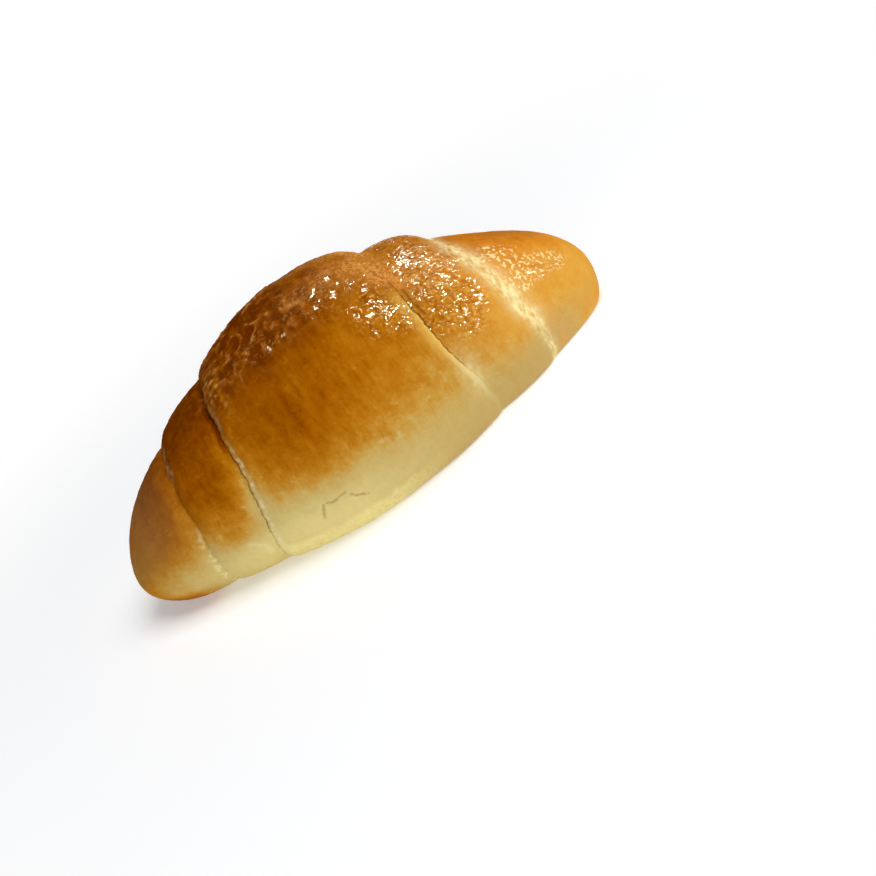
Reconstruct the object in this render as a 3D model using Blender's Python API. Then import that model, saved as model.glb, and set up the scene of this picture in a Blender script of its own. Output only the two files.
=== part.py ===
"""A salt bread roll: a long triangle of dough rolled up from its wide end, so that
each turn ends in a lip that steps down towards the tips.

Metres, +Z up. The roll lies along X on its flat base, with its front side towards -Y
and the origin under the middle of its box.
"""
import math

import bmesh
import bpy
from mathutils import Vector, noise

NAME = "salt_bread_roll"

# The spindle under the turns.
HALF_LENGTH = 0.0655
HALF_WIDTH = 0.0275
RISE = 0.0228                 # from the widest line up to the top, in the middle
DROP = 0.0319                 # from the widest line down, before the base is cut flat
WAIST_HEIGHT = 0.0195         # the widest line above the base, in the middle
TIP_HEIGHT = 0.0094           # the tips above the base
SIDE_TAPER = 1.5              # near 1 a taper runs straight to the tips, near 2 it is an arc
TOP_TAPER = 2.2
UNDER_TAPER = 1.15
TAPER_SOFTNESS = 0.25         # rounds the middle, where straight tapers would meet at a corner
SIDE_FULLNESS = 0.75          # the larger, the blunter the ends
TOP_FULLNESS = 1.1
UNDER_FULLNESS = 1.1
WIDTH_SKEW = -0.083           # the left half is wider
RISE_SKEW = 0.066             # the right half is higher
DROP_SKEW = 0.30              # the right half is deeper
CROWN_POWER = 2.15
BELLY_POWER = 2.1
BASE_ROUNDING = 0.0020

# The lips of the turns, from the left tip to the right one. Each lip's place along X is
# given where it meets the base in front, half way up the front, on top and at the base behind.
LIP_ANGLES = (-40.0, 20.0, 100.0, 220.0)
LIPS = (
    (-0.0454, -0.0443, -0.0412, -0.0360),
    (-0.0318, -0.0285, -0.0248, -0.0150),
    (0.0272, 0.0234, 0.0220, 0.0145),
    (0.0448, 0.0430, 0.0365, 0.0330),
)
LIP_STEPS = (0.0017, 0.0020, 0.0020, 0.0017)
LIP_RADII = (0.0036, 0.0042, 0.0050, 0.0036)
LIP_OVERHANG = 0.0003
GROOVE_DEPTH = 0.0006
GROOVE_WIDTH = 0.0020
FOOT_SHARE = 0.45             # what is left of a lip's step where it meets the base
FOOT_START, FOOT_END = -10.0, -42.0                   # the angles between which it shrinks to that
PUFFS = (0.0011, 0.0003, 0.0024, 0.0005, -0.0008)     # how far each turn swells between its lips

# The shallow dent across the top of the middle turn.
DENT_PLACE = -0.0092
DENT_ANGLE = 56.0
DENT_DEPTH = 0.0007
DENT_WIDTH = 0.0024
DENT_REACH = 30.0

# The unevenness of the crust.
LUMP_HEIGHT = 0.0005
LUMP_SIZE = 0.0150
RIPPLE_HEIGHT = 0.00016
RIPPLE_SIZE = 0.0045

# The net of the surface.
COLUMNS = 80
TIP_RINGS = 9
LIP_RINGS = 4
TURN_RINGS = 4
MIDDLE_RINGS = 14
BASE_SPREAD = 0.4             # the columns stand wider apart under the base

CRUST_COLOUR = (0.48, 0.20, 0.035, 1.0)
CRUST_ROUGHNESS = 0.45


def clear_scene():
    for obj in list(bpy.data.objects):
        bpy.data.objects.remove(obj, do_unlink=True)


def clamp(value):
    return min(max(value, 0.0), 1.0)


def lip_place(lip, angle):
    """X of a lip at an angle round the roll: a smooth closed curve through its four places."""
    turn = 360.0
    angles = [LIP_ANGLES[-1] - turn, *LIP_ANGLES, LIP_ANGLES[0] + turn, LIP_ANGLES[1] + turn]
    places = [lip[-1], *lip, lip[0], lip[1]]
    if angle < angles[1]:
        angle += turn
    index = max(i for i in range(1, len(LIP_ANGLES) + 1) if angles[i] <= angle)

    def slope(i):
        return (places[i + 1] - places[i - 1]) / (angles[i + 1] - angles[i - 1])

    last_slope = slope(index + 1) if index < len(LIP_ANGLES) else slope(1)
    span = angles[index + 1] - angles[index]
    t = (angle - angles[index]) / span
    return ((2 * t**3 - 3 * t**2 + 1) * places[index]
            + (t**3 - 2 * t**2 + t) * span * slope(index)
            + (3 * t**2 - 2 * t**3) * places[index + 1]
            + (t**3 - t**2) * span * last_slope)


def edges_at(angle):
    """The ends of the five turns at an angle: tip, four lips, tip."""
    return [-HALF_LENGTH, *(lip_place(lip, angle) for lip in LIPS), HALF_LENGTH]


def taper(reach, power, fullness):
    """Share of the full size at a reach from 0 in the middle to 1 at a tip."""
    start = TAPER_SOFTNESS**power
    end = (1.0 + TAPER_SOFTNESS**2)**(0.5 * power)
    gone = ((reach**2 + TAPER_SOFTNESS**2)**(0.5 * power) - start) / (end - start)
    left = clamp(1.0 - gone)
    return fullness * math.sqrt(left) + (1.0 - fullness) * left


def spindle_radius(x, angle):
    """Distance from the roll's core line to the spindle."""
    reach = abs(x) / HALF_LENGTH
    share = x / HALF_LENGTH
    across = abs(math.cos(angle))
    upward = math.sin(angle)
    width = HALF_WIDTH * (1.0 + WIDTH_SKEW * share) * taper(reach, SIDE_TAPER, SIDE_FULLNESS)
    if upward > 0.0:
        height = RISE * (1.0 + RISE_SKEW * share) * taper(reach, TOP_TAPER, TOP_FULLNESS)
        power = CROWN_POWER
    else:
        height = DROP * (1.0 + DROP_SKEW * share) * taper(reach, UNDER_TAPER, UNDER_FULLNESS)
        power = BELLY_POWER
    if min(width, height) < 1e-9:
        return 0.0
    return ((across / width)**power + (abs(upward) / height)**power)**(-1.0 / power)


def foot_share(degrees):
    """What is left of a lip's step at an angle: all of it on top, less towards the base."""
    below_top = 90.0 - abs(degrees - 90.0)
    t = clamp((below_top - FOOT_START) / (FOOT_END - FOOT_START))
    return 1.0 - (1.0 - FOOT_SHARE) * t * t * (3.0 - 2.0 * t)


def turn_relief(x, edges, share):
    """What the turns add to the spindle, and how far the lips lean out along X."""
    relief = 0.0
    lean = 0.0
    for edge, step, radius in zip(edges[1:-1], LIP_STEPS, LIP_RADII):
        side = math.copysign(1.0, edge)
        if side * x < 0.0:
            continue
        inward = (edge - x) * side
        t = clamp(inward / radius)
        rise = math.sqrt(1.0 - (1.0 - t)**2)
        relief += share * step * rise
        lean += side * share * LIP_OVERHANG * math.sin(math.pi * rise)
        if inward <= 0.0:
            relief -= share * GROOVE_DEPTH * math.exp(-(inward / GROOVE_WIDTH)**2)
        else:
            relief -= share * GROOVE_DEPTH * (1.0 - rise)
    for start, end, puff in zip(edges[:-1], edges[1:], PUFFS):
        if start <= x <= end:
            t = (x - start) / (end - start)
            relief += 4.0 * puff * t * (1.0 - t)
            break
    return relief, lean


def dent(x, degrees):
    along = (x - DENT_PLACE) / DENT_WIDTH
    around = (degrees - DENT_ANGLE) / DENT_REACH
    return DENT_DEPTH * math.exp(-along**2 - around**2)


def flatten(z):
    """Heights near and below the base come to rest on it, round a small radius."""
    if z > BASE_ROUNDING:
        return z
    if z < -BASE_ROUNDING:
        return 0.0
    return (z + BASE_ROUNDING)**2 / (4.0 * BASE_ROUNDING)


def surface_point(x, degrees, edges):
    """A point of the crust. At 0 degrees it is in front, at 90 on top, at -90 underneath."""
    angle = math.radians(degrees)
    reach = abs(x) / HALF_LENGTH
    core = Vector((x, 0.0, TIP_HEIGHT + (WAIST_HEIGHT - TIP_HEIGHT) * (1.0 - reach**2)))
    outward = Vector((0.0, -math.cos(angle), math.sin(angle)))
    spindle = spindle_radius(x, angle)
    relief, lean = turn_relief(x, edges, foot_share(degrees))
    place = core + outward * spindle
    end_fade = clamp((1.0 - reach) * 8.0)
    relief += end_fade * LUMP_HEIGHT * noise.noise(place / LUMP_SIZE)
    relief += end_fade * RIPPLE_HEIGHT * noise.noise(place / RIPPLE_SIZE)
    relief -= dent(x, degrees)
    point = core + outward * (spindle + relief)
    return Vector((point.x + lean, point.y, flatten(point.z)))


def lip_rings(lip, side):
    """Rings over the rounded lip and into its groove, from left to right."""
    radius = LIP_RADII[lip - 1]
    rings = [(lip, 0.0, -side * radius * (1.0 - math.cos(0.5 * math.pi * k / LIP_RINGS)))
             for k in range(1, LIP_RINGS)]
    rings = [(lip, 0.0, 0.5 * side * GROOVE_WIDTH), (lip, 0.0, 0.0), *rings]
    return rings if side < 0.0 else rings[::-1]


def turn_rings(start, count, lead, trail):
    """Rings spread over a turn, keeping a lead and a trail clear of its ends."""
    shares = [k / count for k in range(count + 1)]
    return [(start, share, (1.0 - share) * lead - share * trail) for share in shares]


def ring_plan():
    """Every ring between the tips: the edge it starts from, its share of the way to the
    next edge, and a shift along X."""
    tip_shares = [1.0 - math.cos(0.5 * math.pi * k / TIP_RINGS) for k in range(1, TIP_RINGS + 1)]
    plan = [(0, share, -share * GROOVE_WIDTH) for share in tip_shares]
    plan += lip_rings(1, -1.0)
    plan += turn_rings(1, TURN_RINGS, LIP_RADII[0], GROOVE_WIDTH)
    plan += lip_rings(2, -1.0)
    plan += turn_rings(2, MIDDLE_RINGS, LIP_RADII[1], LIP_RADII[2])
    plan += lip_rings(3, 1.0)
    plan += turn_rings(3, TURN_RINGS, GROOVE_WIDTH, LIP_RADII[3])
    plan += lip_rings(4, 1.0)
    plan += [(4, 1.0 - share, share * GROOVE_WIDTH) for share in reversed(tip_shares)]
    return plan


def build_mesh():
    """A sphere whose rings are moved to the turns and whose columns run round the roll."""
    plan = ring_plan()
    segments = len(plan) + 1
    shape = bmesh.new()
    bmesh.ops.create_uvsphere(shape, u_segments=COLUMNS, v_segments=segments, radius=1.0)
    for vert in shape.verts:
        ring = round(math.acos(max(-1.0, min(1.0, vert.co.z))) * segments / math.pi)
        if ring in (0, segments):
            vert.co = (math.copysign(HALF_LENGTH, ring - 1), 0.0, TIP_HEIGHT)
            continue
        around = (math.atan2(vert.co.y, vert.co.x) + 0.5 * math.pi) % (2.0 * math.pi)
        degrees = math.degrees(around + BASE_SPREAD * math.sin(around)) - 90.0
        edges = edges_at(degrees)
        start, share, shift = plan[ring - 1]
        x = edges[start] + share * (edges[start + 1] - edges[start]) + shift
        vert.co = surface_point(x, degrees, edges)
    bmesh.ops.triangulate(shape, faces=shape.faces[:])
    centre_on_origin(shape)
    mesh = bpy.data.meshes.new(NAME)
    shape.to_mesh(mesh)
    shape.free()
    mesh.shade_smooth()
    return mesh


def centre_on_origin(shape):
    """Move the shape sideways so that its box is centred over the origin."""
    for axis in (0, 1):
        places = [vert.co[axis] for vert in shape.verts]
        middle = 0.5 * (min(places) + max(places))
        for vert in shape.verts:
            vert.co[axis] -= middle


def crust_material():
    material = bpy.data.materials.new("browned_crust")
    material.use_nodes = True
    shader = material.node_tree.nodes["Principled BSDF"]
    shader.inputs["Base Color"].default_value = CRUST_COLOUR
    shader.inputs["Roughness"].default_value = CRUST_ROUGHNESS
    shader.inputs["Metallic"].default_value = 0.0
    return material


def build_roll():
    collection = bpy.data.collections.new(NAME)
    bpy.context.scene.collection.children.link(collection)
    roll = bpy.data.objects.new(NAME, build_mesh())
    roll.data.materials.append(crust_material())
    collection.objects.link(roll)


clear_scene()
build_roll()
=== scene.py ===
"""The looks of a salt bread roll: its wound turns, blistered buttery crust and pale sides.

Metres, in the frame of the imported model. The roll lies along X with its front side
towards -Y. Angles round it are in degrees: 0 in front, 90 on top, -90 underneath.
"""
import math

import bmesh
import bpy
import numpy as np
from mathutils import Matrix, Vector, noise


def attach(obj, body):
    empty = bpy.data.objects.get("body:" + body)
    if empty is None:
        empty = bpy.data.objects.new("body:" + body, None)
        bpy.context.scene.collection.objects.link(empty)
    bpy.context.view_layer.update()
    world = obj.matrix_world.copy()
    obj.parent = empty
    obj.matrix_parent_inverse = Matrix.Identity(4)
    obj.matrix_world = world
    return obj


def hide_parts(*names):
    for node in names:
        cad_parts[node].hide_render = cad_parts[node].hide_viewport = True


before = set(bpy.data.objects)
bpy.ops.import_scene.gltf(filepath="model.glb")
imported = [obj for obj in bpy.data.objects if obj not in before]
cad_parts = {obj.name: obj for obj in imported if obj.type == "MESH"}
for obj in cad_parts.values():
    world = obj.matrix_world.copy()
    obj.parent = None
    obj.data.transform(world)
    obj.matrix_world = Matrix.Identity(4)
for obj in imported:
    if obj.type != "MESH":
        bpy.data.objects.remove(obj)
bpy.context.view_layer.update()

MM = 0.001
ROLL_NODE = "salt_bread_roll"
MM_PER_DEGREE = 0.47                     # a typical width of one degree of crust round the roll

# The spindle under the turns, as in the CAD part.
HALF_LENGTH = 65.5 * MM
HALF_WIDTH = 27.5 * MM
RISE = 22.8 * MM
DROP = 31.9 * MM
WAIST_HEIGHT = 19.5 * MM
TIP_HEIGHT = 9.4 * MM
SIDE_TAPER = 1.5
TOP_TAPER = 2.2
UNDER_TAPER = 1.15
TAPER_SOFTNESS = 0.25
SIDE_FULLNESS = 0.75
TOP_FULLNESS = 1.1
UNDER_FULLNESS = 1.1
WIDTH_SKEW = -0.083
RISE_SKEW = 0.066
DROP_SKEW = 0.30
CROWN_POWER = 2.15
BELLY_POWER = 2.1
BASE_ROUNDING = 2.0 * MM

# The lips of the turns, from left to right: their places along X at four angles.
LIP_ANGLES = (-40.0, 20.0, 100.0, 220.0)
LIPS = (
    (-45.4 * MM, -44.3 * MM, -41.2 * MM, -36.0 * MM),
    (-31.8 * MM, -28.5 * MM, -24.8 * MM, -15.0 * MM),
    (27.2 * MM, 23.4 * MM, 22.0 * MM, 14.5 * MM),
    (44.8 * MM, 43.0 * MM, 36.5 * MM, 33.0 * MM),
)
PUFFS = (1.1 * MM, 0.3 * MM, 2.4 * MM, 0.5 * MM, -0.8 * MM)

# The cross-section of each lip, first low on the sides and then on top of the roll: lengths in mm,
# and a softness from 0, a crisp lip, to 1, a soft shoulder.
LIP_STEPS = ((1.5, 1.7), (1.4, 2.1), (1.4, 1.8), (1.5, 1.7))
LIP_RADII = ((3.6, 2.6), (2.5, 2.6), (2.4, 3.6), (3.4, 3.0))
GROOVE_DEPTHS = ((0.5, 0.7), (0.28, 1.3), (0.4, 0.6), (0.5, 0.6))
GROOVE_WIDTHS = ((2.2, 1.5), (1.2, 1.3), (1.1, 2.4), (2.2, 1.9))
LIP_SOFTNESS = ((0.1, 0.3), (0.6, 0.0), (0.45, 0.8), (0.5, 0.8))
LIP_OVERHANG = 0.4 * MM
OVERHANG_SHARES = (0.2, 1.0)             # low on the sides, and on top
LIP_WOBBLE = 0.5 * MM
RIM_START, RIM_END = 15.0, 70.0          # angles between which a lip turns from low to top
FOOT_SHARE = 0.45                        # what is left of a lip's step where it meets the base
FOOT_START, FOOT_END = 4.0, -34.0        # the angles between which it shrinks to that

# The net of the surface.
COLUMNS = 340
TIP_RINGS = 40
LIP_RINGS = 10
GROOVE_RINGS = 6
TURN_RINGS = 24
MIDDLE_RINGS = 100
COLUMN_SPREAD = (0.45, 0.25, 0.12)       # the columns stand wider apart underneath and closer in front
SAFE_REACH = 0.99999                     # the spindle's radius isn't worked out nearer a tip
LUMP_HEIGHT, LUMP_SIZE = 0.35, 15.0      # broad unevenness, in mm


def smooth(low, high, value):
    """0 below low, 1 above high, and a smooth rise between them."""
    t = np.clip((value - low) / (high - low), 0.0, 1.0)
    return t * t * (3.0 - 2.0 * t)


def noise_field(points, size, seed=0.0):
    """Noise from -1 to 1 whose lumps are about as large as size."""
    places = points / size + seed
    return np.array([noise.noise(place) for place in places.tolist()])


def pebble_field(points, size, seed=0.0):
    """Round pebbles: 1 at the middle of each, falling to 0 at its rim."""
    places = points / size + seed
    reach = np.array([noise.voronoi(place)[0][0] for place in places.tolist()])
    return np.clip(1.0 - (reach / 0.55)**2, 0.0, 1.0)


def ridge_field(points, size, seed=0.0):
    """Branching wrinkles: 1 along their crests."""
    first = 1.0 - np.abs(noise_field(points, size, seed)) * 2.4
    second = 1.0 - np.abs(noise_field(points, size * 0.5, seed + 7.0)) * 2.4
    return np.clip(0.7 * first + 0.3 * second, 0.0, 1.0)


def lip_place(lip, degrees):
    """X of a lip at angles round the roll: a smooth closed curve through its four places."""
    first, last = LIP_ANGLES[0], LIP_ANGLES[-1]
    angles = np.array([last - 360.0, *LIP_ANGLES, first + 360.0, LIP_ANGLES[1] + 360.0])
    places = np.array([lip[-1], *lip, lip[0], lip[1]])
    slopes = np.zeros(len(places))
    slopes[1:-1] = (places[2:] - places[:-2]) / (angles[2:] - angles[:-2])
    around = (degrees - first) % 360.0 + first
    index = np.clip(np.searchsorted(angles, around, side="right") - 1, 1, len(LIP_ANGLES))
    span = angles[index + 1] - angles[index]
    t = (around - angles[index]) / span
    return ((2 * t**3 - 3 * t**2 + 1) * places[index]
            + (t**3 - 2 * t**2 + t) * span * slopes[index]
            + (3 * t**2 - 2 * t**3) * places[index + 1]
            + (t**3 - t**2) * span * slopes[index + 1])


def edges_at(degrees):
    """The ends of the five turns at each angle: tip, four lips, tip."""
    turn = np.radians(degrees)
    circle = np.stack([np.cos(turn), np.sin(turn), np.zeros_like(turn)], axis=-1)
    edges = [np.full_like(degrees, -HALF_LENGTH)]
    for number, lip in enumerate(LIPS):
        wobble = noise_field(circle, 0.35, 3.0 + 5.0 * number)
        wobble += 0.5 * noise_field(circle, 0.12, 1.0 + number)
        wobble += 0.4 * noise_field(circle, 0.05, 2.0 + number)
        edges.append(lip_place(lip, degrees) + LIP_WOBBLE * wobble)
    edges.append(np.full_like(degrees, HALF_LENGTH))
    return np.array(edges)


def taper(reach, power, fullness):
    """Share of the full size at a reach from 0 in the middle to 1 at a tip."""
    start = TAPER_SOFTNESS**power
    end = (1.0 + TAPER_SOFTNESS**2)**(0.5 * power)
    gone = ((reach**2 + TAPER_SOFTNESS**2)**(0.5 * power) - start) / (end - start)
    left = np.clip(1.0 - gone, 0.0, 1.0)
    return fullness * np.sqrt(left) + (1.0 - fullness) * left


def spindle_radius(x, turn):
    """Distance from the roll's core line to the spindle."""
    share = x / HALF_LENGTH
    reach = np.abs(share)
    upward = np.sin(turn)
    width = HALF_WIDTH * (1.0 + WIDTH_SKEW * share) * taper(reach, SIDE_TAPER, SIDE_FULLNESS)
    above = RISE * (1.0 + RISE_SKEW * share) * taper(reach, TOP_TAPER, TOP_FULLNESS)
    below = DROP * (1.0 + DROP_SKEW * share) * taper(reach, UNDER_TAPER, UNDER_FULLNESS)
    height = np.where(upward > 0.0, above, below)
    power = np.where(upward > 0.0, CROWN_POWER, BELLY_POWER)
    return ((np.abs(np.cos(turn)) / width)**power + (np.abs(upward) / height)**power)**(-1.0 / power)


def between(pair, high):
    """A lip's measure at an angle, between its low value and its top one."""
    return pair[0] + (pair[1] - pair[0]) * high


def rim_mix(pair, high):
    """A lip's length at an angle, in metres."""
    return MM * between(pair, high)


def foot_share(height_angle):
    """What is left of a lip's step at an angle: all of it on top, less towards the base."""
    return 1.0 - (1.0 - FOOT_SHARE) * smooth(-FOOT_START, -FOOT_END, -height_angle)


def turn_relief(x, edges, high, share):
    """What the turns add to the spindle, and how far the lips lean out along X."""
    relief = np.zeros_like(x)
    lean = np.zeros_like(x)
    for number in range(4):
        edge = edges[number + 1]
        side = math.copysign(1.0, LIPS[number][1])
        mine = side * x > 0.0
        inward = (edge - x) * side
        radius = rim_mix(LIP_RADII[number], high)
        groove = rim_mix(GROOVE_DEPTHS[number], high)
        width = rim_mix(GROOVE_WIDTHS[number], high)
        softness = between(LIP_SOFTNESS[number], high)
        t = np.clip(inward / radius, 0.0, 1.0)
        crisp = np.sqrt(1.0 - (1.0 - t)**2)
        crisp_hollow = np.where(inward > 0.0, 1.0 - crisp, np.exp(-(inward / width)**2))
        soft = smooth(-width, radius, inward)
        soft_hollow = np.exp(-(inward / (0.8 * (width + radius)))**2)
        rise = crisp + softness * (soft - crisp)
        hollow = crisp_hollow + softness * (soft_hollow - crisp_hollow)
        relief += mine * share * (rim_mix(LIP_STEPS[number], high) * rise - groove * hollow)
        overhang = LIP_OVERHANG * between(OVERHANG_SHARES, high)
        lean += mine * share * side * (1.0 - softness) * overhang * np.sin(np.pi * crisp)
    for start, end, puff in zip(edges[:-1], edges[1:], PUFFS):
        t = np.clip((x - start) / (end - start), 0.0, 1.0)
        relief += 4.0 * puff * t * (1.0 - t)
    return relief, lean


def flatten(z):
    """Heights near and below the base come to rest on it, round a small radius."""
    rounded = (z + BASE_ROUNDING)**2 / (4.0 * BASE_ROUNDING)
    return np.where(z > BASE_ROUNDING, z, np.where(z < -BASE_ROUNDING, 0.0, rounded))


def lip_rings(lip, side):
    """Rings over the rounded lip and through its groove, from left to right: the lip, the
    share of its radius to the inside, and the share of its groove's width to the outside."""
    inside = [(lip, 1.0 - math.cos(0.5 * math.pi * k / LIP_RINGS), 0.0) for k in range(LIP_RINGS)]
    outside = [(lip, 0.0, 1.0 - k / GROOVE_RINGS) for k in range(1, GROOVE_RINGS)]
    rings = outside + inside
    return rings if side < 0.0 else rings[::-1]


def ring_plan():
    """Every ring between the tips: one over a lip, or one in a turn with its share of the way
    across and whether it keeps clear of the lip at the turn's start and at its end."""
    tip = [1.0 - math.cos(0.5 * math.pi * k / TIP_RINGS) for k in range(1, TIP_RINGS + 1)]
    turn = [k / TURN_RINGS for k in range(TURN_RINGS + 1)]
    middle = [k / MIDDLE_RINGS for k in range(MIDDLE_RINGS + 1)]
    plan = [("turn", 0, share, 0, 1) for share in tip]
    plan += [("lip", *ring) for ring in lip_rings(1, -1.0)]
    plan += [("turn", 1, share, 1, 1) for share in turn]
    plan += [("lip", *ring) for ring in lip_rings(2, -1.0)]
    plan += [("turn", 2, share, 1, 1) for share in middle]
    plan += [("lip", *ring) for ring in lip_rings(3, 1.0)]
    plan += [("turn", 3, share, 1, 1) for share in turn]
    plan += [("lip", *ring) for ring in lip_rings(4, 1.0)]
    plan += [("turn", 4, 1.0 - share, 1, 0) for share in reversed(tip)]
    return plan


def lip_reach(number, high, outward):
    """How far a lip (1 to 4) reaches along X: over its round inside, or through its groove."""
    pair = (GROOVE_WIDTHS if outward else LIP_RADII)[number - 1]
    return rim_mix(pair, high)


def ring_places(plan, rings, edges, high):
    """X of every vertex, from its ring and the lips' places at its own angle."""
    x = np.zeros(len(rings))
    for index, ring in enumerate(plan, start=1):
        mine = rings == index
        if ring[0] == "lip":
            _, lip, inside, outside = ring
            side = math.copysign(1.0, LIPS[lip - 1][1])
            x[mine] = (edges[lip][mine] - side * inside * lip_reach(lip, high[mine], False)
                       + side * outside * lip_reach(lip, high[mine], True))
            continue
        _, turn, share, keep_start, keep_end = ring
        start, end = edges[turn][mine], edges[turn + 1][mine]
        lead = lip_reach(turn, high[mine], turn > 2) if keep_start else 0.0
        trail = lip_reach(turn + 1, high[mine], turn < 2) if keep_end else 0.0
        x[mine] = start + lead + share * (end - trail - start - lead)
    return x


class Roll:
    """The roll's net, kept as arrays while its shape is worked out."""

    def __init__(self):
        plan = ring_plan()
        segments = len(plan) + 1
        net = bmesh.new()
        bmesh.ops.create_uvsphere(net, u_segments=COLUMNS, v_segments=segments, radius=1.0)
        bmesh.ops.triangulate(net, faces=net.faces[:])
        self.mesh = bpy.data.meshes.new("salt_bread_roll_crust")
        net.to_mesh(self.mesh)
        net.free()
        sphere = self.read("co")
        rings = np.rint(np.arccos(np.clip(sphere[:, 2], -1.0, 1.0)) * segments / np.pi).astype(int)
        self.tips = (rings == 0) | (rings == segments)
        around = (np.arctan2(sphere[:, 1], sphere[:, 0]) + 0.5 * np.pi) % (2.0 * np.pi)
        first, second, front = COLUMN_SPREAD
        spread = (around + first * np.sin(around) + 0.5 * second * np.sin(2.0 * around)
                  + front * (np.cos(around) - 1.0))
        self.degrees = np.degrees(spread) - 90.0
        self.height_angle = 90.0 - np.abs(self.degrees - 90.0)
        self.high = smooth(RIM_START, RIM_END, self.height_angle)
        self.edges = edges_at(self.degrees)
        self.x = ring_places(plan, rings, self.edges, self.high)
        self.x[rings == 0] = -HALF_LENGTH
        self.x[rings == segments] = HALF_LENGTH
        self.reach = np.abs(self.x) / HALF_LENGTH
        self.winding = np.stack([self.x, self.degrees * MM_PER_DEGREE * MM, np.zeros_like(self.x)], axis=-1)

    def read(self, name):
        """The places ("co") or the normals of the vertices, one row for each."""
        values = np.zeros(len(self.mesh.vertices) * 3)
        source = self.mesh.vertices if name == "co" else self.mesh.vertex_normals
        source.foreach_get("co" if name == "co" else "vector", values)
        return values.reshape(-1, 3)

    def write(self, points):
        self.mesh.vertices.foreach_set("co", points.ravel())
        self.mesh.update()

    def add_attribute(self, name, values):
        layer = self.mesh.attributes.new(name, "FLOAT", "POINT")
        layer.data.foreach_set("value", np.clip(values, 0.0, 1.0).astype(np.float32))

    def band(self, number, inner, outer):
        """1 in a strip beside a lip (0 to 3), from so many mm on its inside to so many mm
        outside it, towards the tip."""
        side = math.copysign(1.0, LIPS[number][1])
        away = (self.x - self.edges[number + 1]) * side / MM
        soft = 0.22 * (inner + outer)
        return smooth(-inner - soft, -inner + soft, away) * smooth(outer + soft, outer - soft, away)

    def strip(self, number, middle, reach):
        """1 in a soft strip so many mm outside a lip (0 to 3), fading within its reach in mm."""
        away = (self.x - self.edges[number + 1]) * math.copysign(1.0, LIPS[number][1]) / MM
        return np.exp(-((away - middle) / reach)**2)

    def add_vectors(self, name, values):
        layer = self.mesh.attributes.new(name, "FLOAT_VECTOR", "POINT")
        layer.data.foreach_set("vector", values.astype(np.float32).ravel())


def patch(roll, place, angle, length, reach):
    """1 in the middle of a soft oval patch of crust, falling to 0 round it."""
    along = (roll.x - place * MM) / (length * MM)
    around = (roll.degrees - angle) / reach
    return np.exp(-along**2 - around**2)


def twin_patch(roll, place, angle, length, reach):
    """The same soft patch on both sides of the roll; the angle is up from level."""
    along = (roll.x - place * MM) / (length * MM)
    around = (roll.height_angle - angle) / reach
    return np.exp(-along**2 - around**2)


# Swells and dents of the turns: X in mm, angle, half length in mm, half angle and height in mm.
SWELLS = (
    (-9.2, 56.0, 2.4, 30.0, -0.7),
    (-20.0, 102.0, 9.0, 32.0, -0.5),
    (14.0, 100.0, 9.0, 34.0, 0.8),
    (48.0, 100.0, 11.0, 36.0, -0.6),
)


def shape_turns(roll):
    """Moves the net to the spindle with its turns, lumps and flat base."""
    turn = np.radians(roll.degrees)
    zero = np.zeros_like(turn)
    inside = np.clip(1.0 - roll.reach**2, 0.0, 1.0)
    waist = TIP_HEIGHT + (WAIST_HEIGHT - TIP_HEIGHT) * inside
    core = np.stack([roll.x, zero, waist], axis=-1)
    outward = np.stack([zero, -np.cos(turn), np.sin(turn)], axis=-1)
    safe_x = np.clip(roll.x, -SAFE_REACH * HALF_LENGTH, SAFE_REACH * HALF_LENGTH)
    spindle = np.where(roll.tips, 0.0, spindle_radius(safe_x, turn))
    relief, lean = turn_relief(roll.x, roll.edges, roll.high, foot_share(roll.height_angle))
    place = core + outward * spindle[:, None]
    fade = np.clip((1.0 - roll.reach) * 8.0, 0.0, 1.0)
    relief += fade * LUMP_HEIGHT * MM * noise_field(place, LUMP_SIZE * MM)
    for *oval, height in SWELLS:
        relief += height * MM * patch(roll, *oval)
    relief = np.where(roll.tips, 0.0, relief)
    points = core + outward * (spindle + relief)[:, None]
    points[:, 0] += np.where(roll.tips, 0.0, lean)
    points[:, 2] = flatten(points[:, 2])
    middle = 0.5 * (points[:, 1].min() + points[:, 1].max())
    points[:, 1] -= middle
    roll.write(points)


def along_roll(x, stations):
    """A value along the roll, eased between stations that are given as X in mm and the value."""
    places = np.array([place for place, _ in stations])
    values = np.array([value for _, value in stations])
    place = np.clip(x / MM, places[0], places[-1])
    index = np.clip(np.searchsorted(places, place, side="right") - 1, 0, len(places) - 2)
    share = smooth(places[index], places[index + 1], place)
    return values[index] + (values[index + 1] - values[index]) * share


def path_distance(roll, path):
    """Distance to a line over the crust, given as places of X in mm and degrees."""
    spot = roll.winding[:, :2]
    nearest = np.full(len(roll.x), np.inf)
    for first, second in zip(path[:-1], path[1:]):
        start = np.array([first[0], first[1] * MM_PER_DEGREE]) * MM
        way = np.array([second[0], second[1] * MM_PER_DEGREE]) * MM - start
        share = np.clip((spot - start) @ way / (way @ way), 0.0, 1.0)
        nearest = np.minimum(nearest, np.linalg.norm(spot - start - share[:, None] * way, axis=1))
    return nearest


def near_path(roll, path, width, waver):
    """1 on a line over the crust and 0 beside it; waver, in mm, makes it uneven."""
    return np.exp(-((path_distance(roll, path) + waver * MM) / (width * MM))**2)


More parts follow.
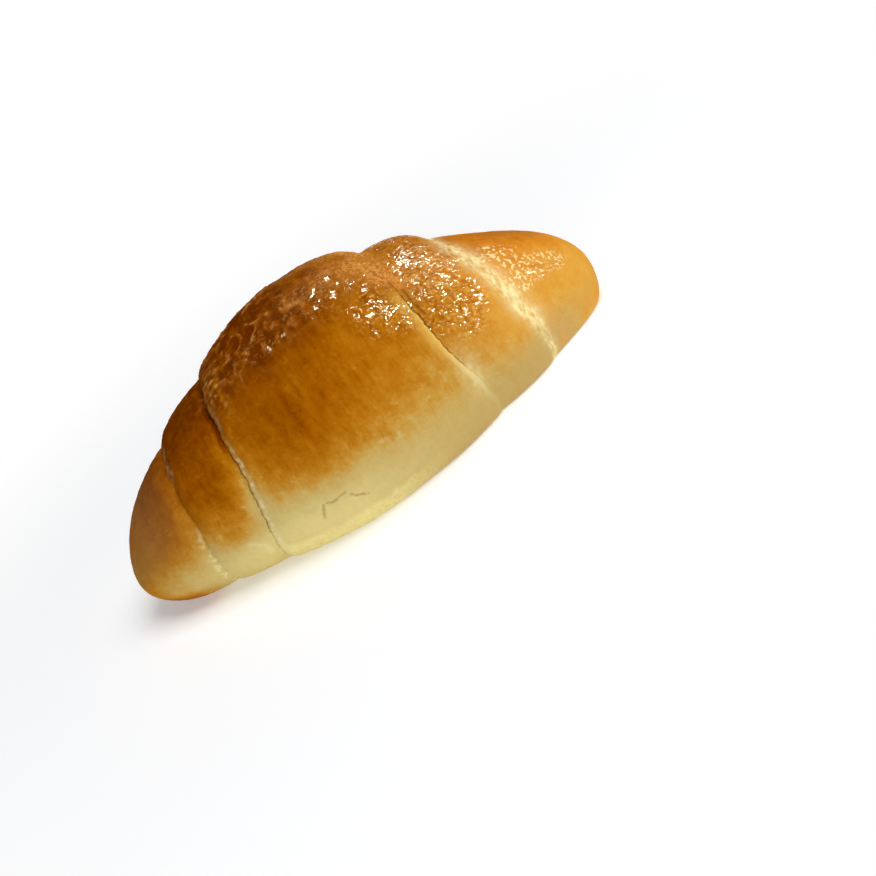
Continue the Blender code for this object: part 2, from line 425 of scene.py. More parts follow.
# How brown the crust is along the roll, as X in mm and a value from 0, pale, to 1, dark: near the
# base, half way up and on top. Then the angles between which each tone turns to the next.
BROWN_FOOT = (
    (-65, 0.40), (-58, 0.26), (-52, 0.16), (-44, 0.09), (-34, 0.02), (-16, 0.00),
    (2, 0.10), (14, 0.18), (34, 0.24), (48, 0.23), (65, 0.24),
)
BROWN_SIDE = (
    (-65, 0.34), (-58, 0.54), (-52, 0.72), (-44, 0.70), (-36, 0.75), (-24, 0.70), (-16, 0.73),
    (-4, 0.68), (8, 0.58), (20, 0.50), (34, 0.44), (46, 0.30), (62, 0.26), (65, 0.26),
)
BROWN_TOP = (
    (-65, 0.34), (-58, 0.60), (-52, 0.84), (-36, 0.94), (-4, 0.96), (8, 0.82), (20, 0.60),
    (34, 0.52), (48, 0.46), (58, 0.38), (65, 0.26),
)
SIDE_START = ((-65, -16), (-45, -22), (65, -28))
SIDE_END = ((-65, 58), (-46, 50), (-36, 34), (-10, 28), (12, 32), (30, 46), (65, 50))
TOP_START = ((-65, 40), (-10, 36), (65, 36))
TOP_END = ((-65, 80), (-10, 78), (65, 78))
BROWN_SCALE, BROWN_OFFSET = 0.5, 0.25    # how the attribute keeps it, with room below 0 and above 1

# Darker and paler places of the crust, and painted shade along the deep fold of the middle turn (the third
# and fourth): X in mm, angle, half length in mm, half angle, change of tone.
TONE_PATCHES_AND_FOLD_SHADE = (
    (-39.0, -1.0, 3.5, 9.0, 0.10),
    (-33.0, -2.0, 2.5, 9.0, 0.08),
    (-10.8, 58.0, 1.4, 14.0, 0.26),
    (-11.2, 26.0, 0.9, 11.0, 0.12),
    (-7.6, 32.0, 1.6, 12.0, -0.06),
    (-22.0, 24.0, 5.0, 14.0, -0.06),
    (50.0, 44.0, 2.5, 8.0, 0.10),
    (54.0, 71.0, 6.0, 10.0, 0.06),
    (46.0, 10.0, 3.0, 14.0, -0.08),
    (29.5, 70.0, 1.6, 8.0, 0.10),
    (50.0, 92.0, 9.0, 12.0, 0.10),
    (38.0, 30.0, 3.0, 26.0, -0.05),
    (1.0, 54.0, 6.0, 10.0, 0.13),
)


def browning(roll):
    """How brown the crust is, from 0, pale, to 1, dark."""
    points = roll.read("co")
    angle = roll.height_angle + 2.8 * noise_field(points, 8.0 * MM, 4.0)
    angle += 1.6 * noise_field(points, 3.2 * MM, 9.0)
    angle += 0.9 * noise_field(points, 1.4 * MM, 2.0)
    x = roll.x
    foot, side, top = (along_roll(x, tones) for tones in (BROWN_FOOT, BROWN_SIDE, BROWN_TOP))
    brown = foot + (side - foot) * smooth(along_roll(x, SIDE_START), along_roll(x, SIDE_END), angle)
    brown += (top - side) * smooth(along_roll(x, TOP_START), along_roll(x, TOP_END), angle)
    low_side = smooth(56.0, 26.0, angle)
    above_foot = smooth(-12.0, 10.0, angle)
    brown -= 0.12 * roll.band(0, 0.2, 4.2) * smooth(0.0, 40.0, angle)
    brown -= 0.20 * roll.strip(1, 1.2, 2.8) * low_side * above_foot
    brown -= 0.12 * roll.strip(1, -2.0, 3.0) * low_side * above_foot
    # Painted shade: darker in the groove beside the middle turn's left lip, on top.
    brown += 0.30 * roll.band(1, -0.1, 1.3) * smooth(22.0, 45.0, angle)
    brown -= 0.14 * roll.band(2, 1.2, -0.1) * smooth(54.0, 40.0, angle)
    brown += 0.45 * smooth(7.5, 1.0, points[:, 2] / MM) * smooth(-46.0, -60.0, x / MM)
    for place, degrees, length, reach, change in TONE_PATCHES_AND_FOLD_SHADE:
        brown += change * twin_patch(roll, place, degrees, length, reach)
    crumbs = pebble_field(points, 1.6 * MM, 63.0) + 0.5 * noise_field(points, 1.0 * MM, 64.0)
    crumbled = 0.25 * twin_patch(roll, -22.6, 67.0, 1.8, 13.0)
    crumbled += 0.20 * twin_patch(roll, -17.0, 76.0, 5.0, 9.0)
    brown -= crumbs * crumbled
    # Painted light and shade: lighter on the wrinkle crests, darker between them.
    brown -= 0.65 * (wrinkles(roll, points) - 0.36) * twin_patch(roll, *WRINKLED)
    return brown


# The wrinkled top of the middle turn: X in mm, angle, half length in mm and half angle.
WRINKLED = (-9.0, 72.0, 14.0, 15.0)


def wrinkles(roll, points):
    """The wrinkles of the browned top: 1 along their crests, 0 between them."""
    waver = noise_field(points, 5.0 * MM, 70.0)
    way = roll.winding * np.array([1.0, 0.75, 1.0]) + 1.2 * MM * waver[:, None]
    return 0.75 * ridge_field(way, 4.2 * MM, 31.0) + 0.35 * noise_field(way, 1.9 * MM, 35.0)


def lip_crumbs(points):
    """The crumbs at the lip left of the middle: 1 at the middle of each, 0 at its rim."""
    shaken = points + 0.5 * MM * noise_field(points, 1.2 * MM, 17.0)[:, None]
    return pebble_field(shaken, 1.5 * MM, 8.0)


# Patches of small blisters, and of painted glints in cream flakes: X in mm, angle, half length in mm, half
# angle, strength.
BLISTERED = (
    (31.5, 32.0, 7.0, 22.0, 1.3),
    (31.0, 66.0, 8.5, 24.0, 1.3),
    (17.5, 43.0, 6.0, 13.0, 1.25),
    (10.0, 66.0, 9.0, 15.0, 0.55),
    (-6.0, 63.0, 9.0, 12.0, 0.42),
    (46.0, 57.0, 5.0, 11.0, 0.6),
    (52.0, 30.0, 7.0, 14.0, 0.55),
    (58.0, 40.0, 4.0, 14.0, 0.4),
    (-17.0, 62.0, 7.0, 14.0, 0.2),
)
GLINT_FLAKE_PATCHES = (
    (46.0, 58.0, 4.5, 10.0, 1.1),
    (54.0, 38.0, 6.0, 15.0, 1.1),
    (47.5, 32.0, 3.5, 14.0, 1.3),
    (32.0, 56.0, 7.0, 26.0, 0.45),
)

# Deep wrinkles: a path of X in mm and degrees, its half width and its depth in mm.
WRINKLE_LINES = (
    (((-10.4, 80.0), (-11.2, 60.0), (-10.6, 42.0)), 0.9, 0.40),
    (((-4.8, 68.0), (-3.6, 62.0), (-1.0, 58.0)), 0.6, 0.30),
)

# The painted shade beside a lip (0 to 3), a dark line along its groove: its strength at angles from the top
# down.
CREASE_SHADES = (
    (0, ((112, 0.0), (96, 0.0), (60, 0.0), (50, 0.30), (36, 0.0), (-30, 0.0), (-45, 0.2))),
    (1, ((112, 0.9), (72, 1.0), (50, 0.8), (40, 0.35), (28, 0.5), (4, 0.45), (-8, 0.4), (-14, 0.2),
         (-45, 0.3))),
    (2, ((112, 0.0), (72, 0.1), (60, 0.25), (48, 0.4), (36, 0.8), (14, 0.5), (0, 0.3), (-8, 0.0),
         (-45, 0.0))),
    (3, ((112, 0.0), (-20, 0.0), (-45, 0.3))),
)

# Cracks, as paths of X in mm and degrees. The first few are cut into the surface too.
CRACKS = (
    ((-19.8, -19.5), (-19.2, -15.5), (-18.2, -12.0)),
    ((-17.4, -12.2), (-15.8, -13.6), (-14.4, -12.8), (-12.6, -12.6)),
    ((-12.0, -14.8), (-11.3, -16.8), (-10.0, -18.0), (-8.6, -20.5)),
    ((24.2, 50.0), (24.0, 42.0), (24.8, 32.0)),
)
CUT_CRACKS = 3
GAP_REACH = 4.0                          # mm from a lip or a crack within which its distance is kept
SKIRT_ANGLE = -27.5                      # the upper edge of the crumbly rim
FLAT_HEIGHT = 0.3 * MM                   # nothing is roughened nearer the base than this


def crust_marks(roll):
    """The crust's marks: shares of torn or stretched dough, painted highlights on lit edges, painted
    shade in the creases, painted sheen and painted glints in flakes, and the distances to the
    nearest lip and crack."""
    points = roll.read("co")
    high = roll.height_angle
    torn = 0.8 * roll.band(0, 1.1, 0.5) * smooth(44.0, 62.0, high)
    torn += 0.6 * roll.band(1, 1.3, -0.2) * smooth(34.0, 50.0, high) * smooth(74.0, 58.0, high)
    torn *= 0.35 + 0.65 * smooth(-0.4, 0.25, noise_field(points, 2.2 * MM, 77.0))
    thin = 0.8 * roll.strip(3, 0.4, 1.3)
    wide = 0.75 * roll.strip(3, 0.4, 2.6) * smooth(-26.0, -4.0, high) * smooth(94.0, 66.0, high)
    crumbs = smooth(-0.1, 0.35, noise_field(points, 1.1 * MM, 33.0))
    # Painted highlight: a pale golden line along the right lip of the middle turn, where its rounded edge
    # catches the light. The last term is the golden crumbs by the middle turn's left lip, their own colour.
    lit = 0.8 * roll.band(2, 0.6, -0.10) * smooth(46.0, 36.0, high) * smooth(-16.0, -4.0, high)
    lit += 0.5 * roll.strip(2, -1.2, 1.3) * smooth(54.0, 42.0, high) * smooth(-4.0, 20.0, high)
    grains = lip_crumbs(points) * (0.7 + 0.8 * noise_field(points, 1.9 * MM, 18.0))
    lit += 1.1 * twin_patch(roll, -22.8, 68.0, 2.0, 15.0) * grains
    cream = 0.75 * patch(roll, 26.0, -9.0, 2.6, 13.0) * (0.6 + 0.4 * crumbs)
    cream += 0.6 * patch(roll, -31.0, -28.0, 0.6, 10.0)
    cream += 0.8 * roll.strip(0, 0.8, 1.0) * smooth(24.0, 2.0, high) * crumbs
    # Painted highlight: a pale line along the middle turn's left lip, low down.
    cream += (0.9 * roll.strip(1, -0.7, 0.5) * smooth(44.0, 24.0, high) * smooth(-32.0, -22.0, high)
              * (0.3 + 0.7 * crumbs))
    cream += 0.5 * near_path(roll, ((-37.0, -11.0), (-34.4, -18.0), (-34.4, -27.0)), 0.6, 0.0)
    cream += 0.45 * near_path(roll, ((0.0, -2.5), (2.5, -3.2), (4.5, -4.8)), 0.4, 0.0) * crumbs
    gap = np.full(len(roll.x), GAP_REACH)
    crease = np.zeros(len(roll.x))
    # Painted shade along the lips' grooves, by angle.
    for number, depths in CREASE_SHADES:
        away = (roll.x - roll.edges[number + 1]) * math.copysign(1.0, LIPS[number][1]) / MM
        nearer = np.abs(away) < np.abs(gap)
        gap = np.where(nearer, away, gap)
        angles, values = zip(*depths[::-1])
        crease = np.where(nearer, np.interp(high, angles, values), crease)
    crack = np.full(len(roll.x), GAP_REACH)
    for path in CRACKS:
        crack = np.minimum(crack, path_distance(roll, path) / MM)
    wrinkled = patch(roll, -12.0, 82.0, 16.0, 30.0) + 0.6 * patch(roll, 16.0, 86.0, 12.0, 26.0)
    wrinkled += 0.3 * patch(roll, -54.0, 80.0, 7.0, 30.0)
    # Painted sheen: a lighter peach tone on the browned top, beside the two right lips and on the wrinkle
    # crests, standing in for soft highlights.
    sheen = 0.55 * twin_patch(roll, 18.5, 78.0, 7.0, 16.0) + 0.35 * twin_patch(roll, 31.0, 66.0, 8.0, 20.0)
    sheen += (0.35 * twin_patch(roll, 8.0, 76.0, 8.0, 9.0)
              + 0.5 * roll.strip(3, 3.6, 2.4) * smooth(70.0, 52.0, high))
    sheen += 0.45 * twin_patch(roll, 36.0, 64.0, 3.5, 12.0) + 0.4 * twin_patch(roll, 25.5, 58.0, 3.0, 12.0)
    sheen += 0.5 * roll.strip(2, -1.0, 2.4) * smooth(48.0, 62.0, high)
    sheen += 0.75 * twin_patch(roll, *WRINKLED) * smooth(0.45, 0.75, wrinkles(roll, points))
    # Painted sheen: a dull greyish tone over the left end's upper crust and along the right end's top edge,
    # standing in for a grazing reflection. The last term dulls the crust towards the base at the left end.
    dusk = smooth(-40.0, -58.0, roll.x / MM) * smooth(-10.0, 40.0, high)
    dusk += 0.5 * smooth(68.0, 88.0, high) * smooth(44.0, 52.0, roll.x / MM) * smooth(63.0, 56.0, roll.x / MM)
    dusk += 0.7 * smooth(7.0, 1.0, points[:, 2] / MM) * smooth(-46.0, -58.0, roll.x / MM)
    # Painted glints: cream flakes, mostly over the right end.
    flaked = sum(weight * twin_patch(roll, *place) for *place, weight in GLINT_FLAKE_PATCHES)
    flaked = smooth(0.15, 0.9, flaked * (1.0 + 0.9 * noise_field(points, 3.0 * MM, 22.0)))
    wound = smooth(61.0, 51.0, np.abs(roll.x) / MM)
    return {
        "wound": wound,
        "flaked": flaked,
        "sheen": sheen,
        "dusk": dusk,
        "wrinkled": wrinkled,
        "torn": torn,
        "stretched": thin + wide,
        "lit": lit,
        "cream": cream,
        "crease": crease,
        "lip_gap": gap / (2.0 * GAP_REACH) + 0.5,
        "crack_gap": crack / GAP_REACH,
    }


def roughen(roll, brown):
    """Fine relief along the surface's normals: blisters, wrinkles, cracks, crumbs and the rim."""
    points = roll.read("co")
    normals = roll.read("normal")
    baked = smooth(0.22, 0.60, brown)
    blistered = sum(weight * twin_patch(roll, *place) for *place, weight in BLISTERED)
    blistered = smooth(0.10, 0.95, blistered * (1.0 + 0.8 * noise_field(points, 3.4 * MM, 21.0)))
    blistered *= 1.0 - roll.band(2, 0.3, 2.2) * smooth(38.0, 50.0, roll.height_angle)
    round_way = roll.winding * np.array([1.0, 0.7, 1.0])
    relief = 0.10 * MM * blistered * noise_field(round_way, 1.6 * MM, 25.0)
    relief += (0.14 * MM * baked * ridge_field(round_way, 2.6 * MM, 31.0)
               * smooth(20.0, 60.0, roll.height_angle))
    relief += 0.05 * MM * noise_field(points, 1.1 * MM, 50.0)
    relief += 0.80 * MM * twin_patch(roll, *WRINKLED) * (wrinkles(roll, points) - 0.4)
    waver = noise_field(points, 2.0 * MM, 90.0)
    for path, width, depth in WRINKLE_LINES:
        relief -= depth * MM * near_path(roll, path, width, 0.6 * waver) * (0.7 + 0.5 * waver)
    for path in CRACKS[:CUT_CRACKS]:
        relief -= 0.12 * MM * near_path(roll, path, 0.4, 0.0)
    skirt_edge = SKIRT_ANGLE + 1.6 * noise_field(points, 4.0 * MM, 12.0)
    skirt_edge += 0.8 * noise_field(points, 1.2 * MM, 13.0)
    skirt = smooth(1.2, -1.2, roll.height_angle - skirt_edge) * smooth(-33.0, -30.0, roll.x / MM)
    skirt *= smooth(16.0, -14.0, roll.x / MM)
    relief += skirt * (0.30 + 0.10 * noise_field(points, 1.1 * MM, 40.0)) * MM
    crumbs = twin_patch(roll, -22.8, 68.0, 2.2, 15.0)
    relief += 0.40 * MM * crumbs * lip_crumbs(points)
    relief = np.where((points[:, 2] < FLAT_HEIGHT) | roll.tips, 0.0, relief)
    points += normals * relief[:, None]
    points[:, 2] = np.maximum(points[:, 2], 0.0)
    roll.write(points)
    return skirt, blistered


# ---------------------------------------------------------------- shading

def tone(red, green, blue):
    """A screen colour, 0 to 255, as the linear colour that a shader takes."""
    def linear(value):
        value /= 255.0
        return value / 12.92 if value <= 0.04045 else ((value + 0.055) / 1.055)**2.4
    return (linear(red), linear(green), linear(blue), 1.0)


class Value:
    """An output of a shader's node. Maths on it adds Math nodes."""

    def __init__(self, shader, socket):
        self.shader = shader
        self.socket = socket

    def math(self, operation, *others):
        inputs = {0: self}
        inputs.update({place: other for place, other in enumerate(others, start=1)})
        return self.shader.add("ShaderNodeMath", {"operation": operation}, inputs)

    def __add__(self, other):
        return self.math("ADD", other)

    def __mul__(self, other):
        return self.math("MULTIPLY", other)

    def __sub__(self, other):
        return self.math("SUBTRACT", other)

    def __rsub__(self, other):
        return self.shader.add("ShaderNodeMath", {"operation": "SUBTRACT"}, {0: other, 1: self})

    def __truediv__(self, other):
        return self.math("DIVIDE", other)

    def __pow__(self, other):
        return self.math("POWER", other)

    __radd__ = __add__
    __rmul__ = __mul__


class Shader:
    """Builds a material's nodes."""

    def __init__(self, name):
        self.material = bpy.data.materials.new(name)
        self.material.use_nodes = True
        self.tree = self.material.node_tree
        self.surface = self.tree.nodes["Principled BSDF"]

    def add(self, kind, settings=None, inputs=None, output=0):
        """One node: its settings first, then the values or links of its sockets."""
        node = self.tree.nodes.new(kind)
        for name, value in (settings or {}).items():
            if name == "stops":
                self.set_stops(node.color_ramp, value)
            else:
                setattr(node, name, value)
        self.fill(node, inputs or {})
        return Value(self, node.outputs[output])

    def fill(self, node, inputs):
        for name, value in inputs.items():
            if isinstance(value, Value):
                self.tree.links.new(value.socket, node.inputs[name])
            else:
                node.inputs[name].default_value = value

    @staticmethod
    def set_stops(ramp, stops):
        while len(ramp.elements) < len(stops):
            ramp.elements.new(0.5)
        for element, (place, colour) in zip(ramp.elements, stops):
            element.position = place
            element.color = colour

    def attribute(self, name):
        return self.add("ShaderNodeAttribute", {"attribute_name": name}, output="Fac")

    def vector_attribute(self, name):
        return self.add("ShaderNodeAttribute", {"attribute_name": name}, output="Vector")

    def place(self):
        return self.add("ShaderNodeTexCoord", output="Object")

    def noise(self, place, size, detail=2.0, roughness=0.5):
        return self.add("ShaderNodeTexNoise", {"noise_dimensions": "3D"},
                        {"Vector": place, "Scale": 1.0 / size, "Detail": detail, "Roughness": roughness})

    def cells(self, place, size):
        """The distance to the nearest cell's middle, and a chance from 0 to 1 for each cell."""
        reach = self.add("ShaderNodeTexVoronoi", {}, {"Vector": place, "Scale": 1.0 / size})
        return reach, Value(self, reach.socket.node.outputs["Color"])

    def rise(self, value, low, high):
        return self.add("ShaderNodeMapRange", {"interpolation_type": "SMOOTHSTEP"},
                        {"Value": value, "From Min": low, "From Max": high})

    def blend(self, share, first, second):
        return self.add("ShaderNodeMix", {"data_type": "RGBA"}, {0: share, 6: first, 7: second}, output=2)

    def finish(self, share, other):
        """Mixes the plain surface with another shader, and gives the material."""
        plain = Value(self, self.surface.outputs[0])
        mixed = self.add("ShaderNodeMixShader", {}, {0: share, 1: plain, 2: other})
        self.tree.links.new(mixed.socket, self.tree.nodes["Material Output"].inputs["Surface"])
        return self.material


# The crust's tones, from pale dough to the darkest brown, and those of the golden right end.
CRUST_STOPS = (
    (-0.10, tone(240, 220, 150)),
    (0.08, tone(219, 200, 131)),
    (0.20, tone(209, 178, 104)),
    (0.30, tone(204, 154, 64)),
    (0.40, tone(193, 129, 33)),
    (0.52, tone(180, 110, 13)),
    (0.66, tone(160, 89, 2)),
    (0.80, tone(138, 70, 0)),
    (1.00, tone(108, 48, 0)),
)
GOLDEN_STOPS = (
    (-0.10, tone(240, 206, 122)),
    (0.16, tone(234, 182, 82)),
    (0.26, tone(229, 164, 62)),
    (0.38, tone(222, 142, 42)),
    (0.52, tone(204, 120, 26)),
    (0.80, tone(150, 78, 8)),
)
LOWEST, HIGHEST = -0.10, 1.0
SLANT = math.radians(-28.0)
GLINT_TINT = (1.0, 0.90, 0.58, 1.0)
TORN_TONE = tone(178, 138, 86)
STRETCHED_TONE = tone(255, 240, 176)
SKIRT_TONE = tone(244, 229, 158)
# Pale dough, and the painted highlight along a lip's edge.
CREAM_TONE = tone(238, 224, 166)
# Painted shade in the creases, on pale dough.
PALE_CREASE_SHADE_TONE = tone(150, 112, 50)
# Painted sheen.
PAINTED_SHEEN_TONE = tone(232, 160, 82)
# Painted glints in flakes.
PAINTED_GLINT_FLAKE_TONE = tone(255, 232, 168)
# Painted grey sheen, also dulling the base of the left end.
GREY_SHEEN_AND_DULL_TONE = tone(150, 110, 66)
# Painted highlight on a lip's edge, also the golden crumbs.
EDGE_HIGHLIGHT_AND_CRUMB_TONE = tone(242, 198, 100)
# Painted shade: a greyer tan low on the sides.
SHADED_TAN_TONE = tone(195, 169, 107)
# Painted shade in the creases, on brown crust.
CREASE_SHADE_TONE = tone(78, 36, 4)
# Painted glints over the blisters.
PAINTED_GLINT_TONE = tone(248, 206, 124)
GOLDEN = ((20, 0.0), (46, 1.0))
# How strongly the painted shade low on the sides shows along the roll: X in mm and a share.
LOW_SHADE_REACH = ((-12, 0.0), (6, 0.6), (22, 0.8), (44, 0.7), (58, 0.1))


def crust_material():
    """The crust: tones by how brown it is, its marks and painted light and shade over them, and gloss on the
    blisters.
    """
    shader = Shader("buttered_crust")
    place = shader.place()
    winding = shader.vector_attribute("winding")
    brown = (shader.attribute("browning") - BROWN_OFFSET) * (1.0 / BROWN_SCALE)
    baked = shader.rise(brown, 0.12, 0.45)
    blistered = shader.attribute("blistered")
    streaky = shader.add("ShaderNodeVectorMath", {"operation": "MULTIPLY"}, {0: winding, 1: (1.0, 0.25, 1.0)})
    jitter = shader.add("ShaderNodeTexNoise", {}, {
        "Vector": winding, "Scale": 1.0 / (1.5 * MM), "Detail": 0.0}, output="Color")
    shifted = shader.add("ShaderNodeVectorMath", {"operation": "MULTIPLY_ADD"}, {
        0: jitter, 1: (1.5 * MM, 1.5 * MM, 0.0), 2: winding})
    mottle = shader.noise(place, 2.8 * MM, detail=5.0, roughness=0.62) - 0.5
    freckle = shader.noise(place, 0.8 * MM, detail=2.0) - 0.5
    streak = shader.noise(streaky, 0.9 * MM, detail=3.0, roughness=0.6) - 0.5
    reach, chance = shader.cells(shifted, 1.15 * MM)
    dome = 1.0 - (reach * 1.6)**2.0
    wrinkled = shader.attribute("wrinkled")
    long_streak = shader.noise(streaky, 1.9 * MM, detail=4.0, roughness=0.65) - 0.5
    slanted = shader.add("ShaderNodeMapping", {"vector_type": "TEXTURE"}, {
        "Vector": winding, "Rotation": (0.0, 0.0, SLANT), "Scale": (1.8, 1.0, 1.0)})
    flecked = shader.noise(slanted, 2.0 * MM, detail=4.0, roughness=0.62) + mottle * 0.2
    fleck = shader.rise(flecked, 0.55, 0.70)
    pit = shader.rise(shader.noise(streaky, 0.9 * MM, detail=3.0), 0.60, 0.72)
    wound = shader.attribute("wound")
    streak = streak * wound
    fleck = fleck * wound
    uneven = (pit * wound * 0.05 + mottle * 0.32 + freckle * 0.11 + streak * (0.11 + 0.20 * blistered)
              + long_streak * wound * (0.24 + wrinkled * 0.8))
    # Painted shade: darker in the hollows between the blister domes.
    painted_gap_shade = (1.0 - shader.rise(dome, -0.2, 0.7)) * blistered * 0.14
    shade = brown + (uneven + painted_gap_shade - fleck * 0.09) * (0.32 + 0.68 * baked)
    level = (shade - LOWEST) / (HIGHEST - LOWEST)
    crust, golden = (shader.add("ShaderNodeValToRGB", {
        "stops": tuple(((at - LOWEST) / (HIGHEST - LOWEST), colour) for at, colour in stops)}, {"Fac": level},
        output="Color") for stops in (CRUST_STOPS, GOLDEN_STOPS))
    colour = shader.blend(shader.attribute("golden"), crust, golden)
    # Painted shade low on the sides.
    colour = shader.blend(shader.attribute("tan"), colour, SHADED_TAN_TONE)
    crumbly = shader.attribute("skirt") * shader.rise(mottle + freckle, -0.42, 0.12) * 0.85
    colour = shader.blend(crumbly, colour, SKIRT_TONE)
    # Painted grey sheen at the ends.
    colour = shader.blend(shader.attribute("dusk") * 0.5, colour, GREY_SHEEN_AND_DULL_TONE)
    # Painted sheen, laid on in spots.
    spotted = shader.rise(mottle * 1.2 + freckle * 1.3, -0.12, 0.16)
    colour = shader.blend(shader.attribute("sheen") * (0.25 + 0.75 * spotted), colour, PAINTED_SHEEN_TONE)
    # Painted glints: light cream flecks over the blisters, standing in for the glaze catching the light.
    painted_glint_flecks = shader.rise(shader.noise(shifted, 0.75 * MM, detail=2.0), 0.53, 0.66)
    colour = shader.blend(blistered * painted_glint_flecks * 0.4, colour, PAINTED_GLINT_TONE)
    # Painted glints: cream flakes standing in for light caught by the glaze.
    glint_flake = shader.rise(shader.noise(place, 0.85 * MM, detail=2.0), 0.50, 0.63)
    colour = shader.blend(shader.attribute("flaked") * glint_flake * 0.9, colour, PAINTED_GLINT_FLAKE_TONE)
    torn = shader.attribute("torn") * shader.rise(streak, -0.24, 0.10)
    stretched = shader.attribute("stretched") * shader.rise(streak + mottle, -0.34, 0.20)
    colour = shader.blend(torn, colour, TORN_TONE)
    # Painted highlight on the lip's edge, and the golden crumbs.
    colour = shader.blend(shader.attribute("lit") * 0.8, colour, EDGE_HIGHLIGHT_AND_CRUMB_TONE)
    # Pale dough patches, and a painted highlight along the middle turn's left lip.
    colour = shader.blend(shader.attribute("cream"), colour, CREAM_TONE)
    colour = shader.blend(stretched, colour, STRETCHED_TONE)
    ragged = shader.noise(place, 0.9 * MM, detail=2.0) - 0.5
    beside = ((shader.attribute("lip_gap") - 0.5) * (2.0 * GAP_REACH) - 0.1 + ragged * 0.9).math("ABSOLUTE")
    # Painted shade: a dark line along each lip's groove. Its tone darkens the cracks too.
    crease = shader.rise(shader.attribute("crease") * (0.45 + freckle * 0.9) - beside, -0.04, 0.16)
    crack = 1.0 - shader.rise(shader.attribute("crack_gap") * GAP_REACH + ragged * 0.6, 0.12, 0.50)
    crease_shade_and_crack_tone = shader.blend(shader.rise(brown, 0.20, 0.60), PALE_CREASE_SHADE_TONE, CREASE_SHADE_TONE)
    colour = shader.blend(crease * 0.85, colour, crease_shade_and_crack_tone)
    colour = shader.blend(crack * 0.5, colour, crease_shade_and_crack_tone)
    glaze = shader.rise(brown, 0.16, 0.40) * (1.0 - torn) * (1.0 - stretched)
    fine = shader.noise(place, 0.45 * MM, detail=3.0, roughness=0.6)
    raised = dome * blistered * (chance + 0.5) * 0.15
    bump_height = (fine * (0.09 - 0.06 * blistered) + raised + mottle * (0.14 - 0.14 * blistered)
                   + streak * (0.12 + 0.2 * (torn + stretched)) + fleck * 0.08
                   + long_streak * wrinkled * 0.5 - crack * 0.08)
    bump = shader.add("ShaderNodeBump", {}, {"Strength": 1.0, "Distance": MM, "Height": bump_height},
                      output="Normal")
    shader.fill(shader.surface, {
        "Base Color": colour, "Roughness": 0.8, "Specular IOR Level": 0.0, "Normal": bump})
    buttery = shader.add("ShaderNodeBsdfPrincipled", {}, {
        "Base Color": colour, "Roughness": 0.07, "IOR": 1.45, "Specular Tint": GLINT_TINT, "Normal": bump})
    glossy = glaze * shader.rise(blistered * 0.45 - chance, -0.05, 0.05)
    return shader.finish(glossy, buttery)


def floor_material():
    """A pale floor that turns to plain white away from the roll."""
    shader = Shader("pale_floor")
    shader.fill(shader.surface, {
        "Base Color": (0.87, 0.88, 0.90, 1.0), "Roughness": 0.9, "Specular IOR Level": 0.0,
        "Emission Color": (1.0, 1.0, 1.0, 1.0), "Emission Strength": 0.29})
    reach = shader.add("ShaderNodeVectorMath", {"operation": "LENGTH"}, {0: shader.place()}, output="Value")
    white = shader.add("ShaderNodeEmission", {}, {"Color": (1.0, 1.0, 1.0, 1.0), "Strength": 1.0})
    return shader.finish(shader.rise(reach, *FLOOR_FADE), white)


def make_roll():
    roll = Roll()
    shape_turns(roll)
    brown = browning(roll)
    skirt, blistered = roughen(roll, brown)
    marks = crust_marks(roll)
    roll.add_attribute("browning", BROWN_SCALE * brown + BROWN_OFFSET)
    roll.add_attribute("skirt", skirt)
    roll.add_attribute("blistered", blistered)
    for name, share in marks.items():
        roll.add_attribute(name, share)
    low_right = smooth(6.0, -36.0, roll.height_angle)
    golden = along_roll(roll.x, GOLDEN) * (1.0 - low_right * smooth(64.0, 46.0, roll.x / MM))
    roll.add_attribute("golden", golden)
    # Painted shade: a greyer tan low on the sides, strongest right of the middle.
    painted_low_side_shade = smooth(-4.0, -40.0, roll.height_angle) * along_roll(roll.x, LOW_SHADE_REACH)
    roll.add_attribute("tan", painted_low_side_shade)
    roll.add_vectors("winding", roll.winding)
    roll.mesh.shade_smooth()
    roll.mesh.materials.append(crust_material())
    piece = bpy.data.objects.new("salt_bread_roll_crust", roll.mesh)
    bpy.context.scene.collection.objects.link(piece)
    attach(piece, "root")
    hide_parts(ROLL_NODE)
    return piece


# ---------------------------------------------------------------- the studio

FLOOR_RADIUS = 6.0
FLOOR_DROP = 0.1 * MM
FLOOR_FADE = (0.085, 0.20)               # the distances between which it turns to plain white


def make_floor():
    disc = bmesh.new()
    bmesh.ops.create_circle(disc, cap_ends=True, segments=96, radius=FLOOR_RADIUS,
                            matrix=Matrix.Translation((0.0, 0.0, -FLOOR_DROP)))
    mesh = bpy.data.meshes.new("studio_floor")
    disc.to_mesh(mesh)
    disc.free()
    mesh.materials.append(floor_material())
    floor = bpy.data.objects.new("studio_floor", mesh)
    bpy.context.scene.collection.objects.link(floor)


ROLL_MIDDLE = (0.0, 0.0, 22.0 * MM)


def add_light(name, direction, distance, size, power, soft):
    """A square lamp that looks at the roll. A soft one only lights, and doesn't show in the gloss."""
    lamp = bpy.data.lights.new(name, "AREA")
    lamp.size = size
    lamp.energy = power
    light = bpy.data.objects.new(name, lamp)
    away = Vector(direction).normalized()
    light.location = Vector(ROLL_MIDDLE) + away * distance
    light.rotation_mode = "QUATERNION"
    light.rotation_quaternion = away.to_track_quat("Z", "Y")
    light.visible_glossy = not soft
    light.visible_diffuse = soft
    bpy.context.scene.collection.objects.link(light)


SPARK_DISTANCE = 0.9

